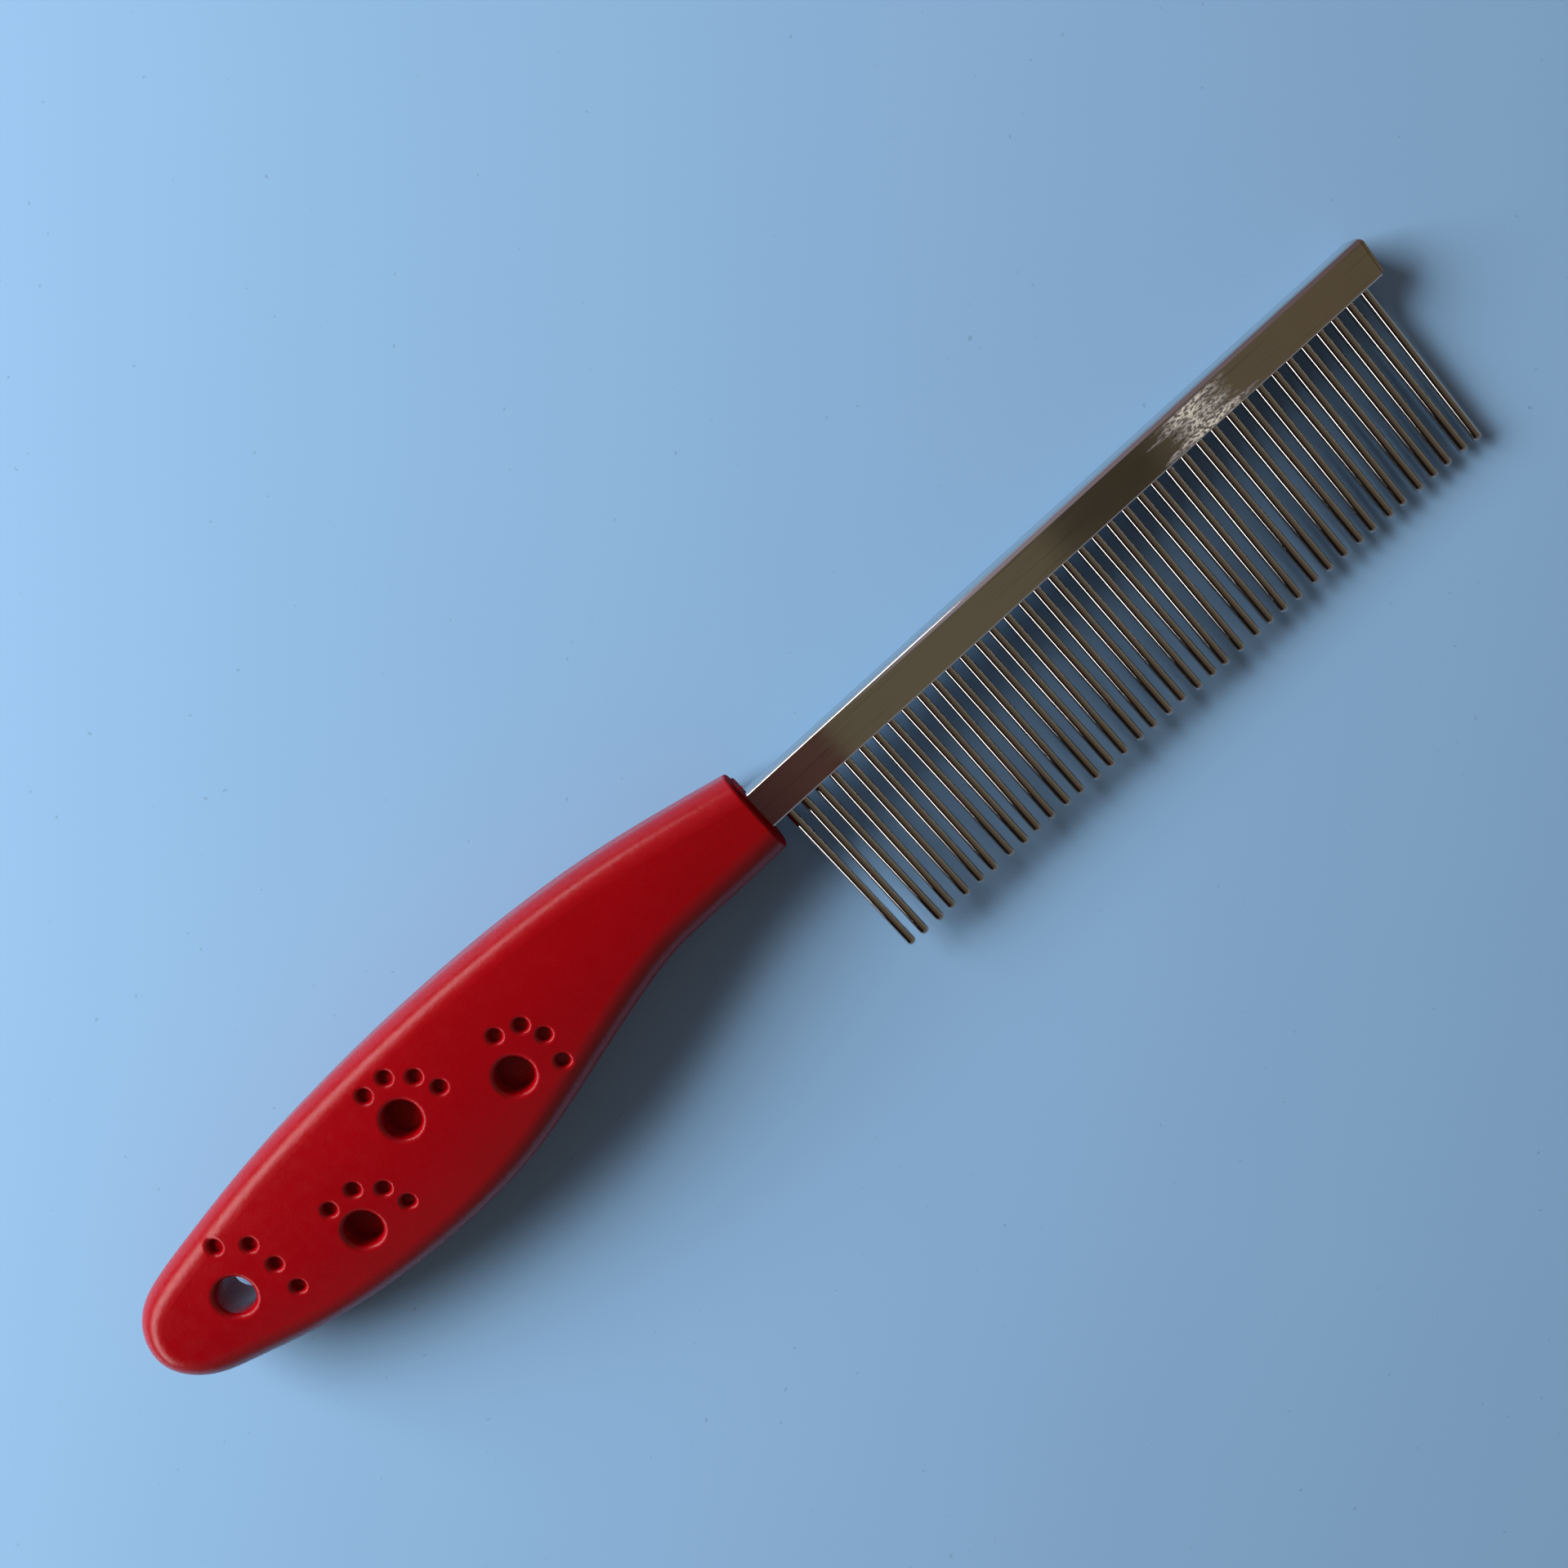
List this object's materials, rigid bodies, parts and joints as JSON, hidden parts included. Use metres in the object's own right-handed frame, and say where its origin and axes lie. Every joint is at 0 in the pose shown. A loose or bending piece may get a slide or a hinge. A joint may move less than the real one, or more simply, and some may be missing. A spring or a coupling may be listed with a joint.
{
  "type": "grooming comb",
  "caption": "Straight pet grooming comb: round steel pins in a chrome-plated channel, with a moulded red handle that has paw-print dimples and a hanging hole.",
  "frame": {"origin": "under the middle of the comb's bounding box, on its lowest face, with the comb lying flat", "axes": "+X from the handle towards the comb's free end, teeth towards -Y, +Z out of the front face and along the hanging hole"},
  "size_m": [0.2112, 0.0396, 0.0135],
  "materials": {
    "handle_plastic": "deep red moulded plastic with a fine leathery grain, satin",
    "channel_chrome": "chrome-plated sheet steel, bright, with fine lengthwise scratches",
    "strip_metal": "plain drawn bar",
    "pin_steel": "nickel-plated round pins, polished, rounded ends"
  },
  "bodies": {
    "root": {"handle": "handle_plastic", "comb_channel": "channel_chrome", "pin_strip": "strip_metal", "tooth_01": "pin_steel", "tooth_02": "pin_steel", "tooth_03": "pin_steel", "tooth_04": "pin_steel", "tooth_05": "pin_steel", "tooth_06": "pin_steel", "tooth_07": "pin_steel", "tooth_08": "pin_steel", "tooth_09": "pin_steel", "tooth_10": "pin_steel", "tooth_11": "pin_steel", "tooth_12": "pin_steel", "tooth_13": "pin_steel", "tooth_14": "pin_steel", "tooth_15": "pin_steel", "tooth_16": "pin_steel", "tooth_17": "pin_steel", "tooth_18": "pin_steel", "tooth_19": "pin_steel", "tooth_20": "pin_steel", "tooth_21": "pin_steel", "tooth_22": "pin_steel", "tooth_23": "pin_steel", "tooth_24": "pin_steel", "tooth_25": "pin_steel", "tooth_26": "pin_steel", "tooth_27": "pin_steel", "tooth_28": "pin_steel", "tooth_29": "pin_steel", "tooth_30": "pin_steel", "tooth_31": "pin_steel", "tooth_32": "pin_steel", "tooth_33": "pin_steel", "tooth_34": "pin_steel", "tooth_35": "pin_steel", "tooth_36": "pin_steel", "tooth_37": "pin_steel", "tooth_38": "pin_steel", "tooth_39": "pin_steel", "tooth_40": "pin_steel"}
  },
  "joints": []
}
